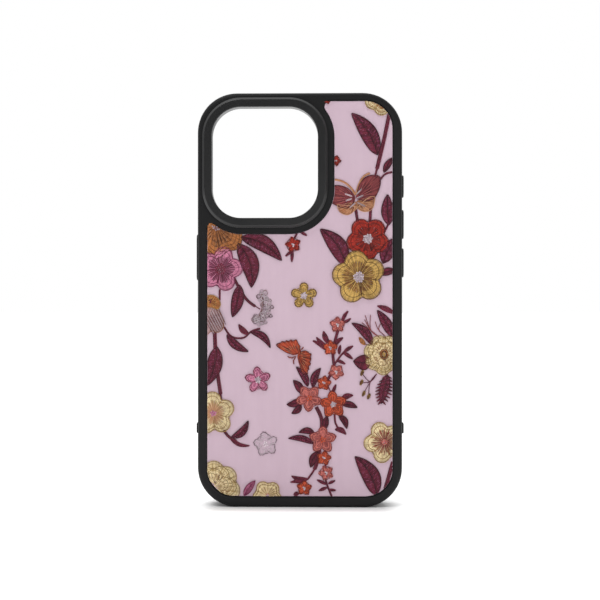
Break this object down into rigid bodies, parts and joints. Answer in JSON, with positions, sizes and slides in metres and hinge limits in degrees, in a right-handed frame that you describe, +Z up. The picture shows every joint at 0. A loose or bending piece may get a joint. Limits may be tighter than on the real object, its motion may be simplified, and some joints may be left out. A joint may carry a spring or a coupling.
{
  "type": "phone case",
  "caption": "Slim phone case with a soft black bumper, a raised camera ring, pressable side keys, strap anchors and a back panel of stitched flowers.",
  "frame": {"origin": "middle of the width and of the whole depth, camera ring included, at the bottom edge that the case stands on", "axes": "+Z up towards the camera end, +X right as seen from behind the case, +Y towards the open screen side; the decorated back faces -Y"},
  "size_m": [0.0754, 0.014, 0.1494],
  "materials": {
    "soft_black": "fine satin grain",
    "hard_black": "satin",
    "panel_print": "fine woven texture",
    "clear_film": "milky adhesive",
    "grey_lining": "short soft nap"
  },
  "bodies": {
    "case": {"bumper_frame": "soft_black", "back_plate": "hard_black", "decor_panel": "panel_print", "panel_film": "clear_film", "camera_ring": "hard_black", "lining": "grey_lining", "power_key_web": "soft_black", "action_key_web": "soft_black", "volume_up_key_web": "soft_black", "volume_down_key_web": "soft_black"},
    "power_key": {"power_key": "hard_black"},
    "action_key": {"action_key": "hard_black"},
    "volume_up_key": {"volume_up_key": "hard_black"},
    "volume_down_key": {"volume_down_key": "hard_black"}
  },
  "joints": [
    {"name": "power_key_press", "type": "slide", "parent": "case", "child": "power_key", "axis": [1, 0, 0], "range_m": [0, 0.00025], "stiffness_N_per_m": 5000, "deforming": ["power_key_web"]},
    {"name": "action_key_press", "type": "slide", "parent": "case", "child": "action_key", "axis": [-1, 0, 0], "range_m": [0, 0.00025], "stiffness_N_per_m": 5000, "deforming": ["action_key_web"]},
    {"name": "volume_up_key_press", "type": "slide", "parent": "case", "child": "volume_up_key", "axis": [-1, 0, 0], "range_m": [0, 0.00025], "stiffness_N_per_m": 5000, "deforming": ["volume_up_key_web"]},
    {"name": "volume_down_key_press", "type": "slide", "parent": "case", "child": "volume_down_key", "axis": [-1, 0, 0], "range_m": [0, 0.00025], "stiffness_N_per_m": 5000, "deforming": ["volume_down_key_web"]}
  ]
}
